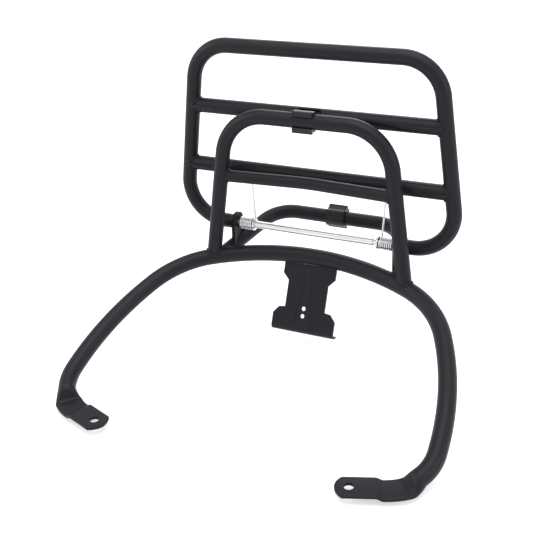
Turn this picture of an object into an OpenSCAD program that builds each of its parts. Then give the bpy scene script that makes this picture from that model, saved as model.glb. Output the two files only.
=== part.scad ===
// Folding rear luggage rack: a tubular base loop and upright hoop, with a
// sprung carrying grid that folds down on to a support hoop behind it.
// X is left and right, +Y is rearward, Z is up, in millimetres. The origin is
// midway between the two foot holes, on the underside of the feet.

/* [Base loop] */
// Outside diameter of the base loop tube
loop_d = 18; // [14:0.5:24]
// Wall of the base loop tube
loop_wall = 1.5; // [1:0.25:2.5]
// Slope of the loop, rising towards the rear, in degrees
loop_pitch = 22.3; // [10:0.1:30]
// Bend radius of the rear bow
bow_r = 290; // [270:1:320]
// Half angle of the rear bow, in degrees
bow_turn = 23; // [21:0.5:26]
// Bend radius of the rear corners
corner_r = 101; // [80:1:120]
// Turn of each rear corner, in degrees
corner_turn = 42; // [36:0.5:46]
// Bend radius of the long side arms
arm_r = 323; // [280:1:360]
// Turn along each side arm, in degrees
arm_turn = 23.8; // [18:0.2:28]
// Bend radius at the front of each arm
front_r = 50; // [40:1:60]
// Turn at the front of each arm, in degrees
front_turn = 72.9; // [60:0.1:80]
// Twist of the front bend out of the loop's slope, in degrees
front_twist = -8.3; // [-12:0.1:0]
// Diameter of the drain holes
drain_d = 4; // [2:0.5:6]

// Seam between the bent and straight lengths of a tube
tube_seam = 0.01; // [0.005:0.005:0.02]

/* [Feet] */
// Distance from the end of the front bend to the foot hole
foot_reach = 30.2; // [26:0.2:40]
// Length over which the tube is pressed flat
foot_ramp = 9; // [6:0.5:14]
// Distance from the foot hole to the tip of the foot
foot_tip = 13; // [10:0.5:18]
// Distance from the foot hole to where the rounded tip starts
foot_shoulder = 6; // [4:0.5:8]
// Gap left between the walls that are pressed together
foot_seam = 0.3; // [0.2:0.1:1]
// Diameter of the foot holes
foot_hole_d = 9; // [6:0.1:10.5]

/* [Hinge] */
// Distance of the hinge line behind the rear bow's centre line
hinge_back = 8.4; // [6:0.1:12]
// Height of the hinge line above the rear bow's centre line
hinge_rise = 24.8; // [22:0.1:30]
// Diameter of the hinge rod
rod_d = 6; // [5:0.5:8]
// Half length of the hinge rod
rod_half = 118; // [112:1:124]
// Outside diameter of the spacer sleeve
sleeve_d = 8; // [7:0.5:10]
// Running clearance round the rod, on the radius
rod_fit = 0.05; // [0.02:0.01:0.1]
// Outside diameter of the spring washers
washer_d = 14; // [12:0.5:18]
// Thickness of the spring washers
washer_t = 1.2; // [0.8:0.1:2]
// Outside diameter of the retaining rings
ring_d = 11; // [9:0.5:13]
// Thickness of the retaining rings
ring_t = 1; // [0.6:0.1:1.4]
// Depth of the ring groove in the rod
groove_depth = 0.5; // [0.3:0.1:0.8]
// Slack left at one end of the spacer sleeve
sleeve_slack = 4; // [0.2:0.2:6]
// Clearance between pieces that lie side by side on the rod
side_fit = 0.1; // [0.05:0.05:0.3]

/* [Hinge ears] */
// Distance from the middle of the rack to the inner face of each ear
ear_inner = 93; // [91:0.5:94]
// Thickness of the ears
ear_t = 4; // [3:0.5:4]
// Outside diameter of the ear round the rod
ear_d = 23; // [18:0.5:24]
// Length of the ear's foot in front of the rod
ear_toe = 12; // [9:0.5:14]
// Length of the ear's foot behind the rod
ear_heel = 16; // [12:0.5:18]

/* [Springs] */
// Wire diameter of the torsion springs
wire_d = 2; // [1.6:0.1:2.4]
// Mean diameter of the coils
coil_d = 12; // [11.5:0.1:13]
// Number of turns in each coil
coil_turns = 7.25; // [6.25:1:7.25]
// Gap between neighbouring turns
coil_gap = 0.15; // [0.05:0.05:0.2]
// Distance from the middle of the rack to the inner end of each coil
coil_inner = 74.5; // [73.5:0.1:75]
// Outward lean of the long spring leg over its length
leg_splay = 4.5; // [2:0.5:6]
// Length of the spring leg past the centre line of the lower bar
leg_past = 3; // [1:0.5:6]
// Clearance between the spring leg and the lower bar
leg_fit = 0.3; // [0.1:0.1:0.6]

/* [Upright hoop] */
// Outside diameter of the frame tubes
tube_d = 16; // [12:0.5:18]
// Wall of the frame tubes
tube_wall = 1.5; // [1:0.25:2]
// Height of the hoop's top above the hinge line
hoop_top = 133.5; // [125:0.5:140]
// Half width of the hoop between its top corners
hoop_half = 88.9; // [84:0.1:92]
// Half width of the hoop where it stands on the loop
hoop_foot = 111.8; // [109:0.1:112.5]
// Bend radius of the hoop's corners
hoop_r = 50; // [40:1:56]
// Height of the hoop's cross bar above the hinge line
stay_rise = 64.5; // [60:0.5:66]
// Diameter of the hoop's cross bar
stay_d = 13; // [10:0.5:14]
// Rearward bow of the cross bar, measured where its two arms would meet
stay_bow = 7.5; // [4:0.5:8]
// Bend radius in the middle of the cross bar
stay_r = 200; // [120:5:250]
// Weld gap between joined tubes
weld_gap = 0.05; // [0.02:0.01:0.1]

/* [Support hoop] */
// Angle through which the rack folds down on to its support, in degrees
fold_angle = 81.4; // [76:0.1:86]
// Half width of the support hoop between its rear corners
support_half = 75; // [68:0.5:78]
// Half width of the support hoop where it meets the loop
support_foot = 105; // [102:0.5:107]
// Bend radius of the support hoop's corners
support_r = 34; // [28:1:40]

/* [Folding rack] */
// Half width of the rack frame at its top corners
rack_top_half = 131.7; // [125:0.1:140]
// Half width of the rack frame at the hinge line
rack_low_half = 158.7; // [154:0.1:165]
// Height of the rack frame above the hinge line
rack_height = 199.7; // [190:0.1:210]
// Bend radius of the rack frame's corners
rack_r = 42; // [36:1:46]
// Distance from the middle of the rack to the frame's inner ends
rack_end = 101.8; // [101:0.1:104]
// Distance of the lower bar from the hinge line
low_bar = 66; // [62:0.5:68]
// Distance of the upper bar from the hinge line
high_bar = 133.1; // [128:0.1:138]
// Length of the bushes inside the frame's ends
bush_l = 8; // [5:0.5:8]
// Thickness of the bush flanges
bush_flange = 4.2; // [3:0.1:4.4]
// Clearance of the bushes in the frame's ends, on the radius
bush_fit = 0.05; // [0.02:0.01:0.1]

/* [Snap clips] */
// Width of the plastic clips
clip_w = 22; // [14:1:26]
// Wall of the plastic clips
clip_wall = 2.5; // [1.5:0.25:3]
// Clearance of a clip on the tube that carries it
clip_grip = 0.05; // [0.02:0.01:0.1]
// Clearance of a clip round the bar that snaps into it
clip_seat = 0.3; // [0.2:0.05:0.5]
// Distance between the hoop tube and the bar in the hoop clip
hoop_clip_pitch = 21.7; // [20:0.1:24]
// Distance between the support tube and the bar in the support clip
support_clip_pitch = 18.8; // [18:0.1:20]
// Length of the flared lips
lip_l = 3.2; // [2:0.2:5]
// Half opening of the clips' grip on their tube, in degrees
grip_mouth = 47; // [40:1:55]
// Half angle of the hoop clip's cradle, in degrees
hoop_cradle = 52; // [40:1:60]
// Half angle of the support clip's cradle, in degrees
support_cradle = 42; // [35:1:50]

/* [Tail bracket] */
// Thickness of the bracket plate
plate_t = 2.5; // [2:0.25:4]
// Slope of the bracket from the vertical, in degrees
plate_lean = 25; // [16:0.5:28]
// Half width of the bracket at the loop
plate_top_half = 30.5; // [27:0.5:34]
// Half width of the bracket's waist
plate_waist_half = 23.3; // [20:0.1:26]
// Half width of the bracket's lower end
plate_low_half = 36.5; // [34:0.5:42]
// Distance from the loop to the bracket's bottom edge
plate_drop = 86; // [82:0.5:92]
// Bend radius of the bottom flange
flange_r = 3; // [2:0.5:4]
// Length of the straight part of the bottom flange
flange_l = 7; // [5:0.5:10]
// Height of the pressed rib at its lower end
rib_h = 5; // [4:0.5:6]
// Half width of the pressed rib at its lower end
rib_half = 11; // [9:0.5:14]
// Diameter of the bracket holes
plate_hole_d = 5; // [4:0.1:6.5]
// Distance of the upper bracket hole from the loop
plate_hole_drop = 58; // [54:0.5:60]
// Distance between the bracket holes
plate_hole_pitch = 8.3; // [7:0.1:10]

/* [Hidden] */
$fn = 48;
frame_black = "#26272b";
zinc = "#c9ccd2";
plastic_black = "#17181a";

// A path state is a point, its heading and the direction that it bends towards
function bent(s, r, a) = [
    s[0] + r * (sin(a) * s[1] + (1 - cos(a)) * s[2]),
    cos(a) * s[1] + sin(a) * s[2],
    cos(a) * s[2] - sin(a) * s[1]
];
function twisted(s, a) = [s[0], s[1], cos(a) * s[2] + sin(a) * cross(s[1], s[2])];
function tangent_l(r, a) = r * tan(a / 2);

// The right half of the loop, followed from the middle of its rear bow
loop_start = [[0, 0, 0], [1, 0, 0], [0, -cos(loop_pitch), -sin(loop_pitch)]];
loop_side = bent(bent(bent(loop_start, bow_r, bow_turn), corner_r, corner_turn), arm_r, arm_turn);
loop_stop = bent(twisted(loop_side, front_twist), front_r, front_turn);
foot_heading = atan2(loop_stop[1][1], loop_stop[1][0]);
foot_t = 2 * loop_wall + foot_seam;
foot_w = PI * (loop_d - loop_wall) / 2 + loop_wall;
loop_rear_y = -loop_stop[0][1] - foot_reach * sin(foot_heading);
loop_rear_z = foot_t / 2 - loop_stop[0][2];
hinge_y = loop_rear_y + hinge_back;
hinge_z = loop_rear_z + hinge_rise;

// Centre of the rear bow at a distance x from the middle
function bow_drop(x) = bow_r - sqrt(bow_r * bow_r - x * x);
function bow_at(x) = [
    x,
    loop_rear_y - bow_drop(x) * cos(loop_pitch),
    loop_rear_z - bow_drop(x) * sin(loop_pitch)
];

// Weld gap on the loop, where a tube that stands on the bow reaches past it on to the corner
bow_end = bow_r * sin(bow_turn);
past_bow = max(0, hoop_foot + tube_d / 2 - bow_end);
loop_gap = weld_gap + pow(past_bow, 2) / 2 * (1 / corner_r - 1 / bow_r);

// Upright hoop, in the plane through its top bar and its two feet
hoop_top_at = [0, hinge_y - hoop_clip_pitch, hinge_z + hoop_top];
hoop_foot_at = bow_at(hoop_foot);
hoop_lean = atan2(hoop_top_at[1] - hoop_foot_at[1], hoop_top_at[2] - hoop_foot_at[2]);
hoop_fall = norm([0, hoop_top_at[1] - hoop_foot_at[1], hoop_top_at[2] - hoop_foot_at[2]]);
hoop_splay = atan2(hoop_foot - hoop_half, hoop_fall);
hoop_turn = 90 - hoop_splay;
hoop_flat = hoop_half - tangent_l(hoop_r, hoop_turn);
hoop_leg = hoop_fall / cos(hoop_splay) - tangent_l(hoop_r, hoop_turn);
stay_share = (hoop_top - stay_rise) / (hoop_top_at[2] - hoop_foot_at[2]);
stay_half = hoop_half + stay_share * (hoop_foot - hoop_half);
stay_y = hoop_top_at[1] + stay_share * (hoop_foot_at[1] - hoop_top_at[1]);
stay_angle = atan2(stay_bow, stay_half);
stay_sag = stay_r / cos(stay_angle) - stay_r;

// Support hoop: its rear tube carries the lower bar once the rack is folded down
bar_down = [0, low_bar * sin(fold_angle), low_bar * cos(fold_angle)];
support_at = [
    0,
    hinge_y + bar_down[1] + support_clip_pitch * cos(fold_angle),
    hinge_z + bar_down[2] - support_clip_pitch * sin(fold_angle)
];
support_foot_at = bow_at(support_foot);
support_slope = atan2(support_at[2] - support_foot_at[2], support_at[1] - support_foot_at[1]);
support_run = norm([0, support_at[1] - support_foot_at[1], support_at[2] - support_foot_at[2]]);
support_splay = atan2(support_foot - support_half, support_run);
support_turn = 90 - support_splay;
support_flat = support_half - tangent_l(support_r, support_turn);
support_leg = support_run / cos(support_splay) - tangent_l(support_r, support_turn);

// Rack frame, in the upright plane through the hinge line
rack_splay = atan2(rack_low_half - rack_top_half, rack_height);
rack_turn = 90 - rack_splay;
rack_side = rack_height / cos(rack_splay) - tangent_l(rack_r, rack_turn) - tangent_l(rack_r, 180 - rack_turn);
rack_flat = rack_top_half - tangent_l(rack_r, rack_turn);
rack_tail = rack_low_half - tangent_l(rack_r, 180 - rack_turn) - rack_end;
function rail_x(rise) = rack_low_half - rise * tan(rack_splay);

// Places along the hinge rod
washer_x = coil_inner - wire_d / 2 - side_fit - washer_t;
ring_x = washer_x - side_fit - ring_t;
sleeve_left = -ring_x + side_fit;
sleeve_right = ring_x - sleeve_slack;
ear_outer = ear_inner + ear_t;
bush_x = rack_end - bush_flange;

// Spring path: an end tang through the ear, the coil, and the long leg behind the lower bar
coil_r = coil_d / 2;
coil_pitch = wire_d + coil_gap;
leg_y = tube_d / 2 + leg_fit + wire_d / 2;
leg_lift = atan2(low_bar, leg_y) - acos(coil_r / norm([leg_y, low_bar]));
coil_start = leg_lift - 360 * coil_turns;
coil_outer = coil_inner + coil_pitch * coil_turns;
coil_steps = 12;
coil_n = ceil(coil_turns * coil_steps);
leg_l = norm([low_bar, leg_y]) * sin(acos(coil_r / norm([leg_y, low_bar]))) + leg_past;
wire_sides = 8;

// Swept wire round a list of [point, side direction] rings
module wire(rings, r) {
    n = len(rings);
    function along(i) = let(a = max(i - 1, 0), b = min(i + 1, n - 1))
        (rings[b][0] - rings[a][0]) / norm(rings[b][0] - rings[a][0]);
    function square_to(v, t) = let(w = v - (v * t) * t) w / norm(w);
    skin = [
        for (i = [0:n - 1])
            let(t = along(i), u = square_to(rings[i][1], t), w = cross(t, u))
                for (k = [0:wire_sides - 1])
                    rings[i][0] + r * (cos(360 * k / wire_sides) * u + sin(360 * k / wire_sides) * w)
    ];
    sides = [
        for (i = [0:n - 2])
            for (k = [0:wire_sides - 1])
                let(a = i * wire_sides + k, b = i * wire_sides + (k + 1) % wire_sides)
                    [a, a + wire_sides, b + wire_sides, b]
    ];
    start_cap = [[for (k = [0:wire_sides - 1]) k]];
    end_cap = [[for (k = [wire_sides - 1:-1:0]) (n - 1) * wire_sides + k]];
    polyhedron(skin, concat(sides, start_cap, end_cap), convexity = 10);
}

module tube_section(d, wall) {
    difference() {
        circle(d = d);
        if (wall > 0) circle(d = d - 2 * wall);
    }
}

// Every length of tube ends a seam short of the next, so that each is a clean solid
function seam_turn(r) = tube_seam / r * 180 / PI;

// Straight tube along +X; a wall of 0 gives a solid bar
module straight(l, d, wall) {
    rotate([90, 0, 90]) linear_extrude(height = l - tube_seam) tube_section(d, wall);
}

// Straight tube along X, centred on the origin
module middle_bar(l, d, wall) {
    rotate([90, 0, 90]) linear_extrude(height = l - 2 * tube_seam, center = true) tube_section(d, wall);
}

// Bend centred on the origin, bowed towards +Y
module middle_bend(r, a, d, wall) {
    turn = a - seam_turn(r);
    translate([0, -r, 0]) rotate([0, 0, 90 - turn]) rotate_extrude(angle = 2 * turn, $fn = 96)
        translate([r, 0]) tube_section(d, wall);
}

// Bend that starts at the origin along +X and turns towards -Y
module bend(r, a, d, wall) {
    turn = a - seam_turn(r);
    translate([0, -r, 0]) rotate([0, 0, 90 - turn]) rotate_extrude(angle = turn, $fn = 96)
        translate([r, 0]) tube_section(d, wall);
}

// Moves what follows to the end of such a bend
module after_bend(r, a) {
    translate([0, -r, 0]) rotate([0, 0, -a]) translate([0, r, 0]) children();
}

// The right half, and the same mirrored to the left
module both_sides() {
    children();
    mirror([1, 0, 0]) children();
}

module rod_piece(x0, x1, d) {
    translate([x0, hinge_y, hinge_z]) rotate([0, 90, 0]) cylinder(d = d, h = x1 - x0);
}

module at_loop() {
    translate([0, loop_rear_y, loop_rear_z]) rotate([loop_pitch, 0, 0]) children();
}

// Moves what follows to the end of the right-hand arm, in the plane of the front bend
module at_arm_end() {
    after_bend(bow_r, bow_turn) after_bend(corner_r, corner_turn) after_bend(arm_r, arm_turn)
        rotate([front_twist, 0, 0]) children();
}

// Solid that the tubes standing on the rear bow are cut to; it runs on past the bow's ends
module bow_cutter() {
    at_loop() middle_bend(bow_r, bow_turn + 3, loop_d + 2 * loop_gap, 0);
}

// Tube end pressed flat, with its hole and rounded tip, along +X from the end of the bend
module foot() {
    plate_start = foot_ramp;
    tip_r = (foot_w * foot_w / 4 + pow(foot_tip - foot_shoulder, 2)) / (2 * (foot_tip - foot_shoulder));
    difference() {
        union() {
            hull() {
                translate([-1, 0, 0]) rotate([0, 90, 0]) cylinder(d = loop_d - 4 * weld_gap, h = 1, $fn = 32);
                translate([plate_start, -foot_w / 2, -foot_t / 2]) cube([0.5, foot_w, foot_t]);
            }
            translate([plate_start, 0, -foot_t / 2]) linear_extrude(height = foot_t) intersection() {
                translate([0, -foot_w / 2]) square([foot_reach + foot_tip - plate_start, foot_w]);
                translate([foot_reach + foot_tip - tip_r - plate_start, 0]) union() {
                    circle(r = tip_r, $fn = 96);
                    translate([-foot_reach - foot_w, -foot_w]) square([foot_reach + foot_w, 2 * foot_w]);
                }
            }
        }
        translate([foot_reach, 0, -foot_t]) cylinder(d = foot_hole_d, h = 2 * foot_t);
    }
}

module base_loop() {
    drain_at = 20;
    color(frame_black) {
        at_loop() {
            middle_bend(bow_r, bow_turn, loop_d, loop_wall);
            both_sides() {
                after_bend(bow_r, bow_turn) bend(corner_r, corner_turn, loop_d, loop_wall);
                after_bend(bow_r, bow_turn) after_bend(corner_r, corner_turn)
                    bend(arm_r, arm_turn, loop_d, loop_wall);
                at_arm_end() difference() {
                    bend(front_r, front_turn, loop_d, loop_wall);
                    after_bend(front_r, drain_at) translate([0, 0, -loop_d]) cylinder(d = drain_d, h = loop_d);
                }
            }
        }
        both_sides() translate(loop_stop[0] + [0, loop_rear_y, loop_rear_z])
            rotate([0, 0, foot_heading]) foot();
    }
}

module hoop_plane() {
    translate(hoop_top_at) rotate([90 - hoop_lean, 0, 0]) children();
}

// Moves what follows to the top of the hoop's right-hand leg, heading down it
module at_hoop_leg() {
    hoop_plane() translate([hoop_flat, 0, 0]) after_bend(hoop_r, hoop_turn) children();
}

module upright_hoop() {
    drain_up = loop_d / 2 + drain_d;
    color(frame_black) {
        hoop_plane() {
            middle_bar(2 * hoop_flat, tube_d, tube_wall);
            both_sides() translate([hoop_flat, 0, 0]) bend(hoop_r, hoop_turn, tube_d, tube_wall);
        }
        both_sides() difference() {
            at_hoop_leg() straight(hoop_leg, tube_d, tube_wall);
            bow_cutter();
            at_hoop_leg() translate([hoop_leg - drain_up, 0, 0]) cylinder(d = drain_d, h = tube_d);
        }
    }
}

module hoop_crossbar() {
    straight_l = stay_half / cos(stay_angle) - tangent_l(stay_r, 2 * stay_angle);
    color(frame_black) {
        translate([0, stay_y + stay_bow - stay_sag, hinge_z + stay_rise])
            middle_bend(stay_r, stay_angle, stay_d, tube_wall);
        both_sides() difference() {
            translate([0, stay_y + stay_bow - stay_sag, hinge_z + stay_rise])
                after_bend(stay_r, stay_angle) straight(straight_l, stay_d, tube_wall);
            at_hoop_leg() straight(hoop_leg, tube_d + 2 * weld_gap, 0);
        }
    }
}

module support_plane() {
    translate(support_at) rotate([support_slope, 0, 0]) children();
}

module at_support_leg() {
    support_plane() translate([support_flat, 0, 0]) after_bend(support_r, support_turn) children();
}

module support_hoop() {
    color(frame_black) {
        support_plane() {
            middle_bar(2 * support_flat, tube_d, tube_wall);
            both_sides() translate([support_flat, 0, 0]) bend(support_r, support_turn, tube_d, tube_wall);
        }
        both_sides() difference() {
            at_support_leg() straight(support_leg, tube_d, tube_wall);
            bow_cutter();
            at_hoop_leg() straight(hoop_leg + loop_d, tube_d + 2 * weld_gap, 0);
        }
    }
}

// Right-hand ear: a plate on the support hoop's leg that carries the rod and the spring's tang
module hinge_ear() {
    ear_head = 0.45 * ear_d;
    seat_rise = 3;
    color(frame_black) difference() {
        union() {
            rod_piece(ear_inner, ear_outer, ear_d);
            translate([ear_inner, hinge_y, hinge_z]) rotate([90, 0, 90]) linear_extrude(height = ear_t)
                polygon([
                    [-ear_head, ear_t / 4], [ear_head, ear_t / 4],
                    [ear_heel, -hinge_rise], [-ear_toe, -hinge_rise]
                ]);
        }
        rod_piece(ear_inner - 1, ear_outer + 1, rod_d + 2 * rod_fit);
        translate([0, coil_r * cos(coil_start), coil_r * sin(coil_start)])
            rod_piece(ear_inner - 1, ear_outer + 1, wire_d + 4 * rod_fit);
        at_support_leg() straight(support_leg, tube_d + 2 * weld_gap, 0);
        support_plane() translate([0, -support_run - tube_d, -tube_d * 2])
            cube([2 * support_foot, support_run + tube_d, tube_d * 2 + seat_rise]);
    }
}

module hinge_ear_right() {
    hinge_ear();
}

module hinge_ear_left() {
    mirror([1, 0, 0]) hinge_ear();
}

// Bracket frame: X across, -Y down along the plate, +Z out of its front face
module plate_plane() {
    translate([0, loop_rear_y, loop_rear_z]) rotate([90 - plate_lean, 0, 0]) children();
}

module plate_outline() {
    shoulder = 7;
    top_l = 22;
    waist_top = 29.5;
    waist_low = 59;
    low_top = 67.5;
    both_sides() polygon([
        [0, 0], [plate_top_half, 0], [plate_top_half, -top_l], [plate_waist_half, -waist_top],
        [plate_waist_half, -waist_low], [plate_waist_half + shoulder, -waist_low - 1],
        [plate_low_half, -low_top], [plate_low_half, -plate_drop - 2], [0, -plate_drop - 2]
    ]);
}

// Side view of the plate, with the flange at its bottom bent rearward
module plate_profile() {
    bend_r = flange_r + plate_t;
    bend_at = plate_drop - bend_r;
    translate([-bend_at, -plate_t / 2]) square([bend_at, plate_t]);
    translate([-bend_at, -plate_t / 2 - flange_r]) intersection() {
        difference() {
            circle(r = bend_r);
            circle(r = flange_r);
        }
        translate([-bend_r, 0]) square(bend_r);
    }
    translate([-plate_drop, -plate_t / 2 - flange_r - flange_l]) square([plate_t, flange_l]);
}

// Pressed rib that widens and rises towards the bottom; grow sets its skin
module plate_rib(grow) {
    rib_top = 14;
    crest = 4.5;
    module rib_slice(y, half, h, crest_half) {
        translate([0, y, -plate_t / 2]) rotate([90, 0, 0]) linear_extrude(height = 0.1) polygon([
            [-half - grow, 0], [-crest_half - grow / 2, h + grow], [crest_half + grow / 2, h + grow],
            [half + grow, 0]
        ]);
    }
    hull() {
        rib_slice(-rib_top, 2, 0.1, 1);
        rib_slice(-plate_drop + flange_r + plate_t, rib_half, rib_h, crest);
    }
}

module tail_bracket() {
    color(frame_black) difference() {
        plate_plane() difference() {
            union() {
                intersection() {
                    rotate([90, 0, 90]) linear_extrude(height = 4 * plate_low_half, center = true) plate_profile();
                    translate([0, 0, -30]) linear_extrude(height = 60) plate_outline();
                }
                plate_rib(plate_t);
            }
            plate_rib(0);
            for (k = [0, 1]) translate([0, -plate_hole_drop - k * plate_hole_pitch, -20])
                cylinder(d = plate_hole_d, h = 40);
        }
        bow_cutter();
    }
}

module hinge_rod() {
    color(zinc) difference() {
        rod_piece(-rod_half, rod_half, rod_d);
        both_sides() difference() {
            rod_piece(ring_x - side_fit / 2, ring_x + ring_t + side_fit / 2, rod_d + 1);
            rod_piece(ring_x - side_fit, ring_x + ring_t + side_fit, rod_d - 2 * groove_depth);
        }
    }
}

module spacer_sleeve() {
    color(zinc) difference() {
        rod_piece(sleeve_left, sleeve_right, sleeve_d);
        rod_piece(sleeve_left - 1, sleeve_right + 1, rod_d + 2 * rod_fit);
    }
}

module spring_washer() {
    color(zinc) difference() {
        rod_piece(washer_x, washer_x + washer_t, washer_d);
        rod_piece(washer_x - 1, washer_x + washer_t + 1, rod_d + 2 * rod_fit);
    }
}

module spring_washer_right() {
    spring_washer();
}

module spring_washer_left() {
    mirror([1, 0, 0]) spring_washer();
}

// Open ring snapped into the rod's groove
module retaining_ring() {
    bore = rod_d - 2 * groove_depth + 2 * rod_fit;
    color(zinc) translate([ring_x, hinge_y, hinge_z]) rotate([90, 0, 90]) linear_extrude(height = ring_t)
        difference() {
            circle(d = ring_d);
            circle(d = bore);
            translate([-bore * 0.4, -ring_d]) square([bore * 0.8, ring_d]);
        }
}

module retaining_ring_right() {
    retaining_ring();
}

module retaining_ring_left() {
    mirror([1, 0, 0]) retaining_ring();
}

module spring() {
    tang_end = ear_outer;
    function around(a) = [0, cos(a), sin(a)];
    function on_coil(x, a) = [[x, hinge_y + coil_r * cos(a), hinge_z + coil_r * sin(a)], around(a)];
    leg_way = [leg_splay / leg_l, -sin(leg_lift), cos(leg_lift)];
    leg_from = on_coil(coil_inner, leg_lift)[0];
    color(zinc) wire(concat(
        [for (x = [tang_end, ear_inner, coil_outer + wire_d / 2]) on_coil(x, coil_start)],
        [for (i = [1:coil_n]) on_coil(coil_outer - coil_pitch * coil_turns * i / coil_n,
            coil_start + 360 * coil_turns * i / coil_n)],
        [for (i = [1:6]) [leg_from + leg_way * leg_l * i / 6, around(leg_lift)]]
    ), wire_d / 2);
}

module spring_right() {
    spring();
}

module spring_left() {
    mirror([1, 0, 0]) spring();
}

// Flared lip with a beaded edge, at an angle round a seat of radius r
module lip(r, a, flare) {
    bead_d = 1.15 * clip_wall;
    rotate(a) translate([r + clip_grip + bead_d / 2, 0]) {
        circle(d = bead_d);
        rotate(flare) {
            translate([0, -clip_wall / 2]) square([lip_l, clip_wall]);
            translate([lip_l, 0]) circle(d = bead_d);
        }
    }
}

// Wedge with its tip at the origin, open by half on each side of +X
module wedge(half, l) {
    polygon([[0, 0], [l * cos(half), -l * sin(half)], [2 * l, 0], [l * cos(half), l * sin(half)]]);
}

// Clip outline: a grip round the carrying tube at the origin, its mouth turned by
// mouth_at, and a seat for the other bar at pitch along +X
module clip_outline(pitch, mouth_at, seat_half, seat_flare) {
    grip_r = tube_d / 2 + clip_grip;
    seat_r = tube_d / 2 + clip_seat;
    difference() {
        union() {
            circle(r = grip_r + clip_wall);
            difference() {
                translate([pitch, 0]) circle(r = seat_r + clip_wall);
                translate([pitch, 0]) wedge(180 - seat_half, 4 * tube_d);
            }
            translate([0, -tube_d / 4]) square([pitch, tube_d / 2]);
            for (s = [-1, 1]) translate([pitch, 0]) lip(seat_r, 180 + s * seat_half, -s * seat_flare);
        }
        circle(r = grip_r);
        translate([pitch, 0]) circle(r = seat_r);
        rotate(mouth_at) wedge(grip_mouth, 2 * tube_d);
    }
    for (s = [-1, 1]) rotate(mouth_at) lip(grip_r, s * grip_mouth, s * 50);
}

// Clip on the hoop's top bar: its seat opens rearward and holds the upper bar
module hoop_clip() {
    color(plastic_black) translate([-clip_w / 2, hoop_top_at[1], hoop_top_at[2]])
        rotate([90, 0, 90]) rotate(atan2(high_bar - hoop_top, hoop_clip_pitch)) linear_extrude(height = clip_w)
            clip_outline(hoop_clip_pitch, 180, hoop_cradle, 25);
}

// Clip on the support hoop: its cradle faces the way that the lower bar comes down
module support_clip() {
    color(plastic_black) translate([-clip_w / 2, support_at[1], support_at[2]])
        rotate([90, 0, 90]) rotate(180 - fold_angle) linear_extrude(height = clip_w)
            clip_outline(support_clip_pitch, 236, support_cradle, 35);
}

module rack_plane() {
    translate([0, hinge_y, hinge_z + rack_height]) rotate([90, 0, 0]) children();
}

// Moves what follows to the top of the right-hand side rail, heading down it
module at_rack_rail() {
    rack_plane() translate([rack_flat, 0, 0]) after_bend(rack_r, rack_turn) children();
}

module rack_frame() {
    color(frame_black) {
        rack_plane() {
            middle_bar(2 * rack_flat, tube_d, tube_wall);
            both_sides() translate([rack_flat, 0, 0]) bend(rack_r, rack_turn, tube_d, tube_wall);
        }
        both_sides() at_rack_rail() {
            straight(rack_side, tube_d, tube_wall);
            translate([rack_side, 0, 0]) bend(rack_r, 180 - rack_turn, tube_d, tube_wall);
        }
        both_sides() translate([rack_end, hinge_y, hinge_z]) straight(rack_tail, tube_d, tube_wall);
    }
}

// Cross bar of the rack at a height above the hinge line, cut to the side rails
module rack_bar(rise) {
    color(frame_black) difference() {
        translate([-rail_x(rise), hinge_y, hinge_z + rise]) straight(2 * rail_x(rise), tube_d, tube_wall);
        both_sides() at_rack_rail() straight(rack_side, tube_d + 2 * weld_gap, 0);
    }
}

module rack_bar_upper() {
    rack_bar(high_bar);
}

module rack_bar_lower() {
    rack_bar(low_bar);
}

// Flanged bush pressed into the frame's end, turning on the rod
module hinge_bush() {
    color(plastic_black) difference() {
        union() {
            rod_piece(bush_x, rack_end - weld_gap, tube_d);
            rod_piece(rack_end - 1, rack_end + bush_l, tube_d - 2 * tube_wall - 2 * bush_fit);
        }
        rod_piece(bush_x - 1, rack_end + bush_l + 1, rod_d + 2 * rod_fit);
    }
}

module hinge_bush_right() {
    hinge_bush();
}

module hinge_bush_left() {
    mirror([1, 0, 0]) hinge_bush();
}

base_loop();
upright_hoop();
hoop_crossbar();
support_hoop();
hinge_ear_left();
hinge_ear_right();
tail_bracket();
hinge_rod();
spacer_sleeve();
spring_left();
spring_right();
spring_washer_left();
spring_washer_right();
retaining_ring_left();
retaining_ring_right();
hoop_clip();
support_clip();
rack_frame();
rack_bar_upper();
rack_bar_lower();
hinge_bush_left();
hinge_bush_right();
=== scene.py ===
import math
import bpy
import numpy as np
from mathutils import Matrix, Vector


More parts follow.
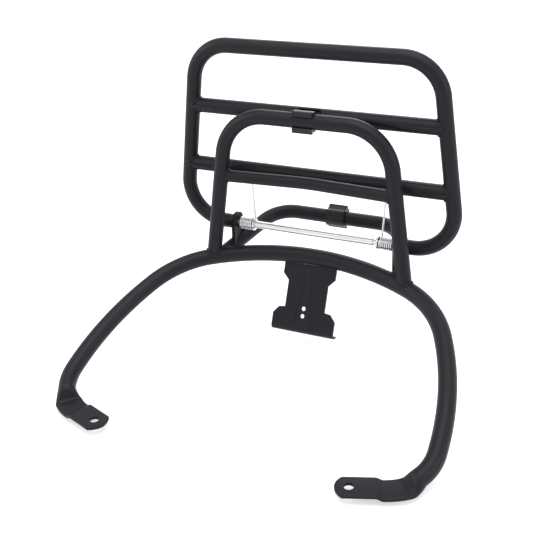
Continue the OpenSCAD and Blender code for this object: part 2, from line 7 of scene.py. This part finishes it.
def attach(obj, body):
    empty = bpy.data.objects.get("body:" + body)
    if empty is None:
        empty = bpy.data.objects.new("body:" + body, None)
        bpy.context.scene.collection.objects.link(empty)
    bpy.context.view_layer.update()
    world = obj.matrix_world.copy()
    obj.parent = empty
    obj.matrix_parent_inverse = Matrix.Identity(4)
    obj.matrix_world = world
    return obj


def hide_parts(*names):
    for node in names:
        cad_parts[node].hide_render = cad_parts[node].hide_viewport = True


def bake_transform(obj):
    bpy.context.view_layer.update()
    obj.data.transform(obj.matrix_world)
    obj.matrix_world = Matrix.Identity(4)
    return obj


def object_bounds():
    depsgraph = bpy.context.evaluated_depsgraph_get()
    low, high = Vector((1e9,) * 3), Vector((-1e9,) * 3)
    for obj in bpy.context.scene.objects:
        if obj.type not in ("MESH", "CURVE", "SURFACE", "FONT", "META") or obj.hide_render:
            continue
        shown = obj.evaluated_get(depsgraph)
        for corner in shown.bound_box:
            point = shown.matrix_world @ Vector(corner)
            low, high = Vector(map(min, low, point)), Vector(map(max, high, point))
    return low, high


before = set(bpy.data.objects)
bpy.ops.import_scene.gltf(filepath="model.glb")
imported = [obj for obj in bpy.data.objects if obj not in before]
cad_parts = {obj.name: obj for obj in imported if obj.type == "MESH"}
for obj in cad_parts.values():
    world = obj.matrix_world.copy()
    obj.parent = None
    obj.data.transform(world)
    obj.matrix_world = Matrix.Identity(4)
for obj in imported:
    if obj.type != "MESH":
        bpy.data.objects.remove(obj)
cad_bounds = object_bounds()

# Studio. The rack stands on white paper under a white sky and broad soft lamps, and the
# camera looks down at it from the front right through a portrait lens.
scene = bpy.context.scene
scene.view_settings.view_transform = "Standard"

camera_place = (0.3576, -0.6010, 0.5344)
camera_bearing, camera_dip, camera_roll = 26.09, 26.21, -2.62
camera_data = bpy.data.cameras.new("camera")
camera_data.sensor_width = 36.0
camera_data.lens = 62.55
camera = bpy.data.objects.new("camera", camera_data)
camera.matrix_world = (Matrix.Translation(camera_place)
                       @ Matrix.Rotation(math.radians(camera_bearing), 4, "Z")
                       @ Matrix.Rotation(math.radians(90 - camera_dip), 4, "X")
                       @ Matrix.Rotation(math.radians(camera_roll), 4, "Z"))
scene.collection.objects.link(camera)
scene.camera = camera


def soft_lamp(name, place, target, size, power):
    """Square area lamp at place, turned to face target."""
    data = bpy.data.lights.new(name, "AREA")
    data.size = size
    data.energy = power
    lamp = bpy.data.objects.new(name, data)
    facing = Vector(target) - Vector(place)
    lamp.matrix_world = Matrix.Translation(place) @ facing.to_track_quat("-Z", "Y").to_matrix().to_4x4()
    scene.collection.objects.link(lamp)


rack_middle = (0.0, 0.15, 0.12)
soft_lamp("top_lamp", (0.1, -0.1, 1.7), rack_middle, 1.4, 17)
soft_lamp("left_lamp", (-1.5, -0.6, 0.9), rack_middle, 1.0, 8)
soft_lamp("right_lamp", (1.6, 0.0, 0.8), rack_middle, 0.9, 6)
soft_lamp("back_lamp", (-0.3, 1.7, 0.9), rack_middle, 1.0, 7)


def seen_or_mirrored(nodes, links):
    """1 where a ray comes from the camera, a mirror-like surface or clear glass, otherwise 0."""
    path = nodes.new("ShaderNodeLightPath")
    total = nodes.new("ShaderNodeMath")
    total.operation = "MAXIMUM"
    links.new(path.outputs["Is Camera Ray"], total.inputs[0])
    links.new(path.outputs["Is Glossy Ray"], total.inputs[1])
    clear = nodes.new("ShaderNodeMath")
    clear.operation = "MAXIMUM"
    links.new(total.outputs[0], clear.inputs[0])
    links.new(path.outputs["Is Transmission Ray"], clear.inputs[1])
    return clear.outputs[0]


world = bpy.data.worlds.new("studio")
world.use_nodes = True
scene.world = world
nodes, links = world.node_tree.nodes, world.node_tree.links
background = nodes["Background"]
strength = nodes.new("ShaderNodeMapRange")
strength.inputs["To Min"].default_value = 0.45
strength.inputs["To Max"].default_value = 1.0
links.new(seen_or_mirrored(nodes, links), strength.inputs["Value"])
links.new(strength.outputs["Result"], background.inputs["Strength"])
background.inputs["Color"].default_value = (1, 1, 1, 1)

floor_level, floor_half = cad_bounds[0][2] - 0.0005, 9
floor_mesh = bpy.data.meshes.new("floor")
floor_corners = [(x * floor_half, y * floor_half, floor_level) for x, y in ((-1, -1), (1, -1), (1, 1), (-1, 1))]
floor_mesh.from_pydata(floor_corners, [], [(0, 1, 2, 3)])
floor = bpy.data.objects.new("floor", floor_mesh)
scene.collection.objects.link(floor)
paper = bpy.data.materials.new("white_paper")
paper.use_nodes = True
nodes, links = paper.node_tree.nodes, paper.node_tree.links
paper_skin = nodes["Principled BSDF"]
paper_skin.inputs["Base Color"].default_value = (0.82, 0.82, 0.82, 1)
paper_skin.inputs["Roughness"].default_value = 0.9
glow = nodes.new("ShaderNodeMapRange")
glow.inputs["To Min"].default_value = 0.0
glow.inputs["To Max"].default_value = 0.56
links.new(seen_or_mirrored(nodes, links), glow.inputs["Value"])
paper_skin.inputs["Emission Color"].default_value = (1, 1, 1, 1)
links.new(glow.outputs["Result"], paper_skin.inputs["Emission Strength"])
floor_mesh.materials.append(paper)


# Base loop. One steel tube, 18 mm across, bent into a horseshoe that slopes down to
# the front, with both ends pressed flat and drilled for bolts, then powder coated.
hinge_y, hinge_z = 0.253458, 0.117204
loop_rear = np.array([0.0, 0.245058, 0.0924038])
loop_pitch = math.radians(22.3)
loop_r = 0.009
rear_bow, shoulder, arm, front_bend = (0.290, 23.0), (0.101, 42.0), (0.323, 23.8), (0.050, 72.9)
front_twist = -8.3
foot_half_w, foot_half_t = 0.01371, 0.00165
foot_reach, foot_tip, foot_shoulder = 0.0302, 0.013, 0.006
press_from, press_to, joggle_l, joggle_rise = -0.034, -0.021, 0.007, 0.0028
foot_hole_r = 0.0045
edge_depth, edge_flare, drill_reach, drill_flare = 0.0005, 0.0003, 0.0060, 0.0040
step_l = 0.0016


def follow(start, heading, side, moves):
    """Centre line of a bent tube as (points, tangents). Each move is a straight length, a
    bend (radius, turn) towards side along p + r(sin a t + (1 - cos a) s), or a twist of side."""
    p, t, s = (np.array(v, float) for v in (start, heading, side))
    points, tangents = [p[None]], [t[None]]
    for kind, *size in moves:
        if kind == "straight":
            a = np.linspace(0, size[0], max(2, round(size[0] / step_l) + 1))[1:, None]
            points.append(p + a * t)
            tangents.append(np.repeat(t[None], len(a), 0))
        elif kind == "bend":
            r, turn = size[0], math.radians(size[1])
            a = np.linspace(0, turn, max(4, round(r * turn / step_l) + 1))[1:, None]
            points.append(p + r * (np.sin(a) * t + (1 - np.cos(a)) * s))
            tangents.append(np.cos(a) * t + np.sin(a) * s)
            s = math.cos(turn) * s - math.sin(turn) * t
        else:
            turn = math.radians(size[0])
            s = math.cos(turn) * s + math.sin(turn) * np.cross(t, s)
        p, t = points[-1][-1], tangents[-1][-1]
    return np.concatenate(points), np.concatenate(tangents)


def both_halves(points, tangents):
    """The left half mirrored across X = 0 and joined to the right half, end to end."""
    flip = np.array([-1.0, 1.0, 1.0])
    return (np.concatenate([(points * flip)[:0:-1], points]),
            np.concatenate([(-tangents * flip)[:0:-1], tangents]))


def skin(points, tangents, flat_to, half_w, half_t, around=40, closed=False):
    """Carries a section along a path: a circle of radius half_t stretched sideways by
    half_w - half_t, with its width square to the tangent and to flat_to. Returns vertices, faces."""
    side = np.cross(flat_to, tangents)
    side /= np.linalg.norm(side, axis=1)[:, None]
    up = np.cross(tangents, side)
    a = np.linspace(0, 2 * np.pi, around, endpoint=False) + np.pi / around
    w = np.broadcast_to(half_w, len(points))[:, None]
    t = np.broadcast_to(half_t, len(points))[:, None]
    across = t * np.cos(a) + np.sign(np.cos(a)) * (w - t)
    above = t * np.sin(a)
    rings = points[:, None] + across[..., None] * side[:, None] + above[..., None] * up[:, None]
    n = len(points)
    i, k = np.meshgrid(np.arange(n if closed else n - 1), np.arange(around), indexing="ij")
    j, m = (i + 1) % n, (k + 1) % around
    quads = np.stack([i * around + k, i * around + m, j * around + m, j * around + k], -1).reshape(-1, 4)
    faces = quads.tolist()
    if not closed:
        faces += [list(range(around))[::-1], list(range((n - 1) * around, n * around))]
    return rings.reshape(-1, 3), faces


smooth_angle = math.radians(40.0)


def piece(name, vertices, faces, material):
    """Makes a mesh object at the origin, smooth except across edges sharper than smooth_angle."""
    mesh = bpy.data.meshes.new(name)
    mesh.from_pydata(np.asarray(vertices).tolist(), [], faces)
    mesh.materials.append(material)
    mesh.shade_smooth()
    mesh.set_sharp_from_angle(angle=smooth_angle)
    made = bpy.data.objects.new(name, mesh)
    scene.collection.objects.link(made)
    return made


def joined(parts):
    """One (vertices, faces) from several."""
    vertices, faces, count = [], [], 0
    for v, f in parts:
        vertices.append(np.asarray(v))
        faces += [[i + count for i in face] for face in f]
        count += len(v)
    return np.concatenate(vertices), faces


def cut(target, cutter_shapes):
    """Takes closed shapes out of a piece with an exact boolean, and leaves a plain mesh."""
    vertices, faces = joined(cutter_shapes)
    tool = piece("cutter", vertices, faces, target.data.materials[0])
    boolean = target.modifiers.new("cut", "BOOLEAN")
    boolean.solver = "EXACT"
    boolean.object = tool
    settle(target)
    bpy.data.objects.remove(tool)


def settle(target):
    """Applies a piece's modifiers to its mesh."""
    evaluated = target.evaluated_get(bpy.context.evaluated_depsgraph_get())
    mesh = bpy.data.meshes.new_from_object(evaluated)
    target.modifiers.clear()
    target.data = mesh
    mesh.shade_smooth()
    mesh.set_sharp_from_angle(angle=smooth_angle)


def turned(profile, centre, axis, around=48):
    """A profile of (distance along axis, radius) pairs turned about the axis, closed at both ends."""
    axis = np.array(axis, float)
    axis /= np.linalg.norm(axis)
    u = np.cross(axis, [0.0, 0.3, 1.0])
    u /= np.linalg.norm(u)
    v = np.cross(axis, u)
    along, r = np.array(profile, float).T
    a = np.linspace(0, 2 * np.pi, around, endpoint=False)
    ring = np.cos(a)[:, None] * u + np.sin(a)[:, None] * v
    rings = np.array(centre) + along[:, None, None] * axis + r[:, None, None] * ring
    n = len(along)
    i, k = np.meshgrid(np.arange(n - 1), np.arange(around), indexing="ij")
    m = (k + 1) % around
    faces = np.stack([i * around + k, i * around + m, (i + 1) * around + m, (i + 1) * around + k], -1)
    faces = faces.reshape(-1, 4).tolist()
    faces += [list(range(around))[::-1], list(range((n - 1) * around, n * around))]
    return rings.reshape(-1, 3), faces


def coat_grain():
    """Shader group for a coated or moulded skin: a fine pebble height, a slow cloudiness
    and sparse faint rubs, all from Object coordinates."""
    group = bpy.data.node_groups.new("coat_grain", "ShaderNodeTree")
    for name, value in (("Pebble Scale", 900.0), ("Cloud Scale", 25.0)):
        socket = group.interface.new_socket(name, in_out="INPUT", socket_type="NodeSocketFloat")
        socket.default_value = value
    for name in ("Height", "Cloud", "Rub"):
        group.interface.new_socket(name, in_out="OUTPUT", socket_type="NodeSocketFloat")
    nodes, links = group.nodes, group.links
    inside, outside = nodes.new("NodeGroupInput"), nodes.new("NodeGroupOutput")
    place = nodes.new("ShaderNodeTexCoord").outputs["Object"]
    pebble = nodes.new("ShaderNodeTexNoise")
    pebble.inputs["Detail"].default_value = 3.0
    cloud = nodes.new("ShaderNodeTexNoise")
    cloud.inputs["Detail"].default_value = 4.0
    rub = nodes.new("ShaderNodeTexNoise")
    rub.inputs["Detail"].default_value = 8.0
    rub.inputs["Scale"].default_value = 60.0
    for texture in (pebble, cloud, rub):
        links.new(place, texture.inputs["Vector"])
    links.new(inside.outputs["Pebble Scale"], pebble.inputs["Scale"])
    links.new(inside.outputs["Cloud Scale"], cloud.inputs["Scale"])
    sparse = nodes.new("ShaderNodeMapRange")
    sparse.inputs["From Min"].default_value = 0.62
    sparse.inputs["From Max"].default_value = 0.78
    links.new(rub.outputs["Fac"], sparse.inputs["Value"])
    links.new(pebble.outputs["Fac"], outside.inputs["Height"])
    links.new(cloud.outputs["Fac"], outside.inputs["Cloud"])
    links.new(sparse.outputs["Result"], outside.inputs["Rub"])
    return group


grain_group = coat_grain()


def grained_skin(name, dark, light, roughness, pebble, bump, metallic=0.0, specular=0.5):
    """Material whose colour drifts from dark to light with the cloud, whose roughness runs
    between two values, and whose skin has a fine pebble bump of the given height in metres."""
    material = bpy.data.materials.new(name)
    material.use_nodes = True
    nodes, links = material.node_tree.nodes, material.node_tree.links
    shader = nodes["Principled BSDF"]
    shader.inputs["Metallic"].default_value = metallic
    shader.inputs["Specular IOR Level"].default_value = specular
    grain = nodes.new("ShaderNodeGroup")
    grain.node_tree = grain_group
    grain.inputs["Pebble Scale"].default_value = pebble
    colour = nodes.new("ShaderNodeMix")
    colour.data_type = "RGBA"
    colour.inputs[6].default_value = (*dark, 1)
    colour.inputs[7].default_value = (*light, 1)
    links.new(grain.outputs["Cloud"], colour.inputs[0])
    links.new(colour.outputs[2], shader.inputs["Base Color"])
    sheen = nodes.new("ShaderNodeMapRange")
    sheen.inputs["To Min"].default_value = roughness[0]
    sheen.inputs["To Max"].default_value = roughness[1]
    links.new(grain.outputs["Cloud"], sheen.inputs["Value"])
    rubbed = nodes.new("ShaderNodeMath")
    rubbed.operation = "MULTIPLY_ADD"
    rubbed.inputs[1].default_value = 0.08
    links.new(grain.outputs["Rub"], rubbed.inputs[0])
    links.new(sheen.outputs["Result"], rubbed.inputs[2])
    links.new(rubbed.outputs[0], shader.inputs["Roughness"])
    relief = nodes.new("ShaderNodeBump")
    relief.inputs["Strength"].default_value = 1.0
    relief.inputs["Distance"].default_value = bump
    links.new(grain.outputs["Height"], relief.inputs["Height"])
    links.new(relief.outputs["Normal"], shader.inputs["Normal"])
    return material


powder_coat = grained_skin("black_powder_coat", dark=(0.0070, 0.0078, 0.0115), light=(0.0100, 0.0110, 0.0155),
                           roughness=(0.40, 0.47), pebble=1100.0, bump=0.00004, specular=0.22)

loop_points, loop_tangents = follow(
    loop_rear, (1, 0, 0), (0, -math.cos(loop_pitch), -math.sin(loop_pitch)),
    [("bend", *rear_bow), ("bend", *shoulder), ("bend", *arm), ("twist", front_twist), ("bend", *front_bend)])
foot_bearing = math.atan2(loop_tangents[-1][1], loop_tangents[-1][0])
foot_way = np.array([math.cos(foot_bearing), math.sin(foot_bearing), 0.0])
foot_hole = loop_points[-1] + foot_reach * foot_way
tip_r = (foot_half_w ** 2 + (foot_tip - foot_shoulder) ** 2) / (2 * (foot_tip - foot_shoulder))

# The tube is pressed flat from inside its last bend on. The flat strip finishes the bend
# level, then a joggle steps up to the drilled blade and its rounded tip.
flat_rows, tip_rows, tip_stop = 32, 16, math.radians(4)
flat = np.linspace(0, foot_reach + foot_shoulder, flat_rows)[1:]
tip_turn = np.linspace(math.asin(foot_half_w / tip_r), tip_stop, tip_rows)[1:]
tip = foot_reach + foot_tip - tip_r + tip_r * np.cos(tip_turn)
along_foot = np.concatenate([flat, tip])
half_points = np.concatenate([loop_points, loop_points[-1] + along_foot[:, None] * foot_way])
travelled = np.concatenate([[0.0], np.cumsum(np.linalg.norm(np.diff(half_points, axis=0), axis=1))])
past_bend = travelled - travelled[len(loop_points) - 1]


def eased(x):
    """0 to 1 with a soft start and end."""
    x = np.clip(x, 0, 1)
    return x * x * (3 - 2 * x)


pressed = np.clip((past_bend - press_from) / (press_to - press_from), 0, 1)
blade_level = loop_points[-1][2]
strip_level = blade_level - joggle_rise * (1 - eased(past_bend / joggle_l))
half_points[:, 2] += (strip_level - half_points[:, 2]) * eased(pressed)
half_tangents = np.gradient(half_points, axis=0)
half_tangents /= np.linalg.norm(half_tangents, axis=1)[:, None]
half_tangents[0] = (1, 0, 0)
half_w = loop_r + (foot_half_w - loop_r) * pressed
half_t = loop_r + (foot_half_t - loop_r) * pressed
half_w[-len(tip):] = tip_r * np.sin(tip_turn)
half_t = np.minimum(half_t, half_w)
whole_points, whole_tangents = both_halves(half_points, half_tangents)
loop_shape = skin(whole_points, whole_tangents, (0, 0, 1),
                  np.concatenate([half_w[:0:-1], half_w]), np.concatenate([half_t[:0:-1], half_t]))
base_loop = piece("base_loop_tube", *loop_shape, powder_coat)
upper_half = [(foot_half_t - edge_depth, foot_hole_r), (foot_half_t, foot_hole_r + edge_flare),
              (drill_reach, foot_hole_r + drill_flare)]
hole_profile = [(-level, r) for level, r in upper_half[::-1]] + upper_half
cut(base_loop, [turned(hole_profile, foot_hole * (s, 1, 1), (0, 0, 1)) for s in (-1, 1)])
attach(base_loop, "fixed_frame")
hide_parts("base_loop")


# Upright hoop. A 16 mm tube bent into an arch that leans slightly rearward and stands
# on the base loop, where both legs are welded on.
frame_r = 0.008
hoop_top = np.array([0.0, 0.231758, 0.250704])
hoop_lean = math.radians(2.55394)
hoop_down = np.array([0.0, -math.sin(hoop_lean), -math.cos(hoop_lean)])
hoop_half, hoop_foot, hoop_fall, hoop_bend = 0.0889, 0.1118, 0.166973, 0.050


def arch(top, down, half, foot, fall, bend_r):
    """Centre line of an arch: half its flat top, a corner, and a leg that ends at (foot, fall)."""
    splay = math.atan2(foot - half, fall)
    turn = math.pi / 2 - splay
    corner = bend_r * math.tan(turn / 2)
    return follow(top, (1, 0, 0), down,
                  [("straight", half - corner), ("bend", bend_r, math.degrees(turn)),
                   ("straight", fall / math.cos(splay) - corner)])


hoop_points, hoop_tangents = arch(hoop_top, hoop_down, hoop_half, hoop_foot, hoop_fall, hoop_bend)
hoop_normal = np.cross((1, 0, 0), hoop_down)
hoop_shape = skin(*both_halves(hoop_points, hoop_tangents), hoop_normal, frame_r, frame_r)
upright_hoop = piece("upright_hoop_tube", *hoop_shape, powder_coat)
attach(upright_hoop, "fixed_frame")
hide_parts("upright_hoop")


# Hoop cross bar. A 13 mm tube between the hoop's legs, bowed rearward in the middle,
# which the carrying grid closes against.
stay_half, stay_y, stay_z = 0.0983727, 0.22868, hinge_z + 0.0645
stay_angle, stay_bend, stay_bow, stay_sag = 4.35984, 0.200, 0.0075, 0.000580422
stay_r = 0.0065
stay_arm = stay_half / math.cos(math.radians(stay_angle)) - stay_bend * math.tan(math.radians(stay_angle))
stay_points, stay_tangents = follow((0, stay_y + stay_bow - stay_sag, stay_z), (1, 0, 0), (0, -1, 0),
                                    [("bend", stay_bend, stay_angle), ("straight", stay_arm)])
stay_shape = skin(*both_halves(stay_points, stay_tangents), (0, 0, 1), stay_r, stay_r)
hoop_crossbar = piece("hoop_cross_bar", *stay_shape, powder_coat)
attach(hoop_crossbar, "fixed_frame")
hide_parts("hoop_crossbar")


# Support hoop. A 16 mm tube that runs rearward from the loop and carries the folded
# grid; its legs are coped and welded to the loop and the hoop's legs.
support_rear = np.array([0.0, 0.321527, 0.108484])
support_slope = math.radians(13.967)
support_half, support_foot, support_fall, support_bend = 0.075, 0.105, 0.0975583, 0.034
support_way = np.array([0.0, -math.cos(support_slope), -math.sin(support_slope)])
support_points, support_tangents = arch(support_rear, support_way, support_half, support_foot,
                                        support_fall, support_bend)
support_normal = np.cross((1, 0, 0), support_way)
support_shape = skin(*both_halves(support_points, support_tangents), support_normal, frame_r, frame_r)
support_hoop = piece("support_hoop_tube", *support_shape, powder_coat)
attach(support_hoop, "fixed_frame")
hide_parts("support_hoop")


# Carrying grid. A closed trapezoid of 16 mm tube, split on the hinge line, with two
# cross bars welded between its side rails.
rack_top_half, rack_low_half, rack_height, rack_bend = 0.1317, 0.1587, 0.1997, 0.042
rack_end = 0.1018
upper_rise, lower_rise = 0.1331, 0.066
rack_splay = math.atan2(rack_low_half - rack_top_half, rack_height)
rack_turn = math.pi / 2 - rack_splay
top_corner = rack_bend * math.tan(rack_turn / 2)
low_corner = rack_bend * math.tan((math.pi - rack_turn) / 2)
rack_points, rack_tangents = follow(
    (0, hinge_y, hinge_z + rack_height), (1, 0, 0), (0, 0, -1),
    [("straight", rack_top_half - top_corner), ("bend", rack_bend, math.degrees(rack_turn)),
     ("straight", rack_height / math.cos(rack_splay) - top_corner - low_corner),
     ("bend", rack_bend, math.degrees(math.pi - rack_turn)),
     ("straight", rack_low_half - low_corner - rack_end)])
rack_shape = skin(*both_halves(rack_points, rack_tangents), (0, 1, 0), frame_r, frame_r)
rack_frame = piece("grid_frame_tube", *rack_shape, powder_coat)
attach(rack_frame, "folding_rack")
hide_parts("rack_frame")


def bar_reach(rise):
    """Half the length of a cross bar that lies this far above the hinge line."""
    return rack_low_half - rise * math.tan(rack_splay)


for bar_name, node_name, rise in (("grid_bar_upper", "rack_bar_upper", upper_rise),
                                  ("grid_bar_lower", "rack_bar_lower", lower_rise)):
    reach = bar_reach(rise)
    bar_points, bar_tangents = follow((-reach, hinge_y, hinge_z + rise), (1, 0, 0), (0, 0, -1),
                                      [("straight", 2 * reach)])
    bar = piece(bar_name, *skin(bar_points, bar_tangents, (0, 1, 0), frame_r, frame_r), powder_coat)
    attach(bar, "folding_rack")
    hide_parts(node_name)


# Weld beads. Each joint between tubes has a bead of weld metal laid round it, rippled
# by the welder's steps and softened by the coat over it.
bead_rows = 96
slide_back, slide_on, slide_steps = -0.030, 0.020, 251


def weld_ring(centre, axis, radius, other, other_r, bead_r):
    """A bead round a tube of this radius where it meets another. Each point starts on the
    first tube's wall and slides along axis until it is other_r from the other's centre line.
    The bead swells and thins by a sum of three sines of the angle round the tube."""
    axis = np.array(axis, float)
    axis /= np.linalg.norm(axis)
    u = np.cross(axis, [0.21, 0.97, 0.13])
    u /= np.linalg.norm(u)
    v = np.cross(axis, u)
    a = np.radians(np.linspace(0.0, 360.0, bead_rows + 1))[:-1]
    wall = np.array(centre) + radius * (np.cos(a)[:, None] * u + np.sin(a)[:, None] * v)
    slide = np.linspace(slide_back, slide_on, slide_steps)
    near = other[np.linalg.norm(other - centre, axis=1) < 0.05]
    probe = wall[:, None] + slide[:, None] * axis
    gap = np.linalg.norm(probe[:, :, None] - near, axis=3).min(2) - other_r
    hit = (gap < 0).argmax(1)
    line = probe[np.arange(len(a)), np.maximum(hit - 1, 0)]
    tangents = np.roll(line, -1, 0) - np.roll(line, 1, 0)
    tangents /= np.linalg.norm(tangents, axis=1)[:, None]
    ripple = bead_r * (1 + 0.07 * np.sin(26 * a) + 0.05 * np.sin(3 * a + 1) + 0.04 * np.sin(7 * a))
    return skin(line, tangents, axis, ripple, ripple, around=14, closed=True)


hoop_bead, bar_bead = 0.0016, 0.0014
fixed_beads, grid_beads = [], []
for s in (1.0, -1.0):
    mirror = np.array([s, 1, 1])
    for points, tangents in ((hoop_points, hoop_tangents), (support_points, support_tangents)):
        fixed_beads.append(weld_ring(points[-1] * mirror, tangents[-1] * mirror, frame_r,
                                     whole_points, loop_r, hoop_bead))
    fixed_beads.append(weld_ring(stay_points[-1] * mirror, stay_tangents[-1] * mirror, stay_r,
                                 hoop_points * mirror, frame_r, bar_bead))
    for rise in (upper_rise, lower_rise):
        grid_beads.append(weld_ring((s * bar_reach(rise), hinge_y, hinge_z + rise), (s, 0, 0), frame_r,
                                    rack_points * mirror, frame_r, bar_bead))
frame_welds = piece("frame_weld_beads", *joined(fixed_beads), powder_coat)
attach(frame_welds, "fixed_frame")
grid_welds = piece("grid_weld_beads", *joined(grid_beads), powder_coat)
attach(grid_welds, "folding_rack")


# Hinge hardware, clips and plates. The rod, its spacer sleeve, washers and rings are bright
# zinc plated steel. The clips and the bushes in the grid's split ends are moulded black
# plastic, and the welded ears and the pressed tail bracket are coated with the tubes.
zinc_plate = grained_skin("bright_zinc", dark=(0.62, 0.63, 0.66), light=(0.78, 0.79, 0.80),
                          roughness=(0.22, 0.36), pebble=700.0, bump=0.00001, metallic=1.0)
black_plastic = grained_skin("black_plastic", dark=(0.005, 0.005, 0.006), light=(0.008, 0.008, 0.009),
                             roughness=(0.30, 0.40), pebble=1500.0, bump=0.00001, specular=0.35)
node_finishes = {
    zinc_plate: ("hinge_rod", "spacer_sleeve", "spring_washer_left", "spring_washer_right",
                 "retaining_ring_left", "retaining_ring_right"),
    black_plastic: ("hoop_clip", "support_clip", "hinge_bush_left", "hinge_bush_right"),
    powder_coat: ("hinge_ear_left", "hinge_ear_right", "tail_bracket"),
}
for finish, node_names in node_finishes.items():
    for node_name in node_names:
        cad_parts[node_name].data.materials.clear()
        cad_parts[node_name].data.materials.append(finish)


# Torsion springs. Round spring wire wound over the rod: a tang through the ear, the coil,
# and a long leg that presses the grid's lower bar upright. On the real rack the coil twists as the grid folds;
# here it is one fixed mesh.
spring_steel = grained_skin("spring_steel", dark=(0.55, 0.56, 0.58), light=(0.72, 0.73, 0.74),
                            roughness=(0.24, 0.36), pebble=900.0, bump=0.00001, metallic=1.0)
wire_r, coil_r, coil_turns = 0.001, 0.006, 7.25
tang_end, coil_outer, coil_inner = 0.097, 0.0900875, 0.0745
leg_angle, leg_l, leg_splay = math.radians(-2.85594), 0.0693814, 0.0045
coil_angle = leg_angle - 2 * math.pi * coil_turns
for side_name, s in (("left", -1.0), ("right", 1.0)):
    turn = np.linspace(0, 1, 291)
    angle = coil_angle + 2 * math.pi * coil_turns * turn
    coil = np.stack([coil_outer + (coil_inner - coil_outer) * turn,
                     coil_r * np.cos(angle), coil_r * np.sin(angle)], 1)
    tang_x = np.linspace(tang_end, coil_outer + wire_r, 12)[:, None]
    tang = np.concatenate([tang_x, np.repeat(coil[:1, 1:], 12, 0)], 1)
    leg_way = np.array([leg_splay / leg_l, -math.sin(leg_angle), math.cos(leg_angle)])
    leg = coil[-1] + np.linspace(0, leg_l, 50)[1:, None] * leg_way
    wire_line = np.concatenate([tang, coil, leg]) * (s, 1, 1) + (0, hinge_y, hinge_z)
    wire_way = np.gradient(wire_line, axis=0)
    wire_way /= np.linalg.norm(wire_way, axis=1)[:, None]
    spring_shape = skin(wire_line, wire_way, (0.9, 0.3, 0.2), wire_r, wire_r, around=12)
    spring = piece("torsion_spring_" + side_name, *spring_shape, spring_steel)
    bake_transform(spring)
    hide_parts("spring_" + side_name)
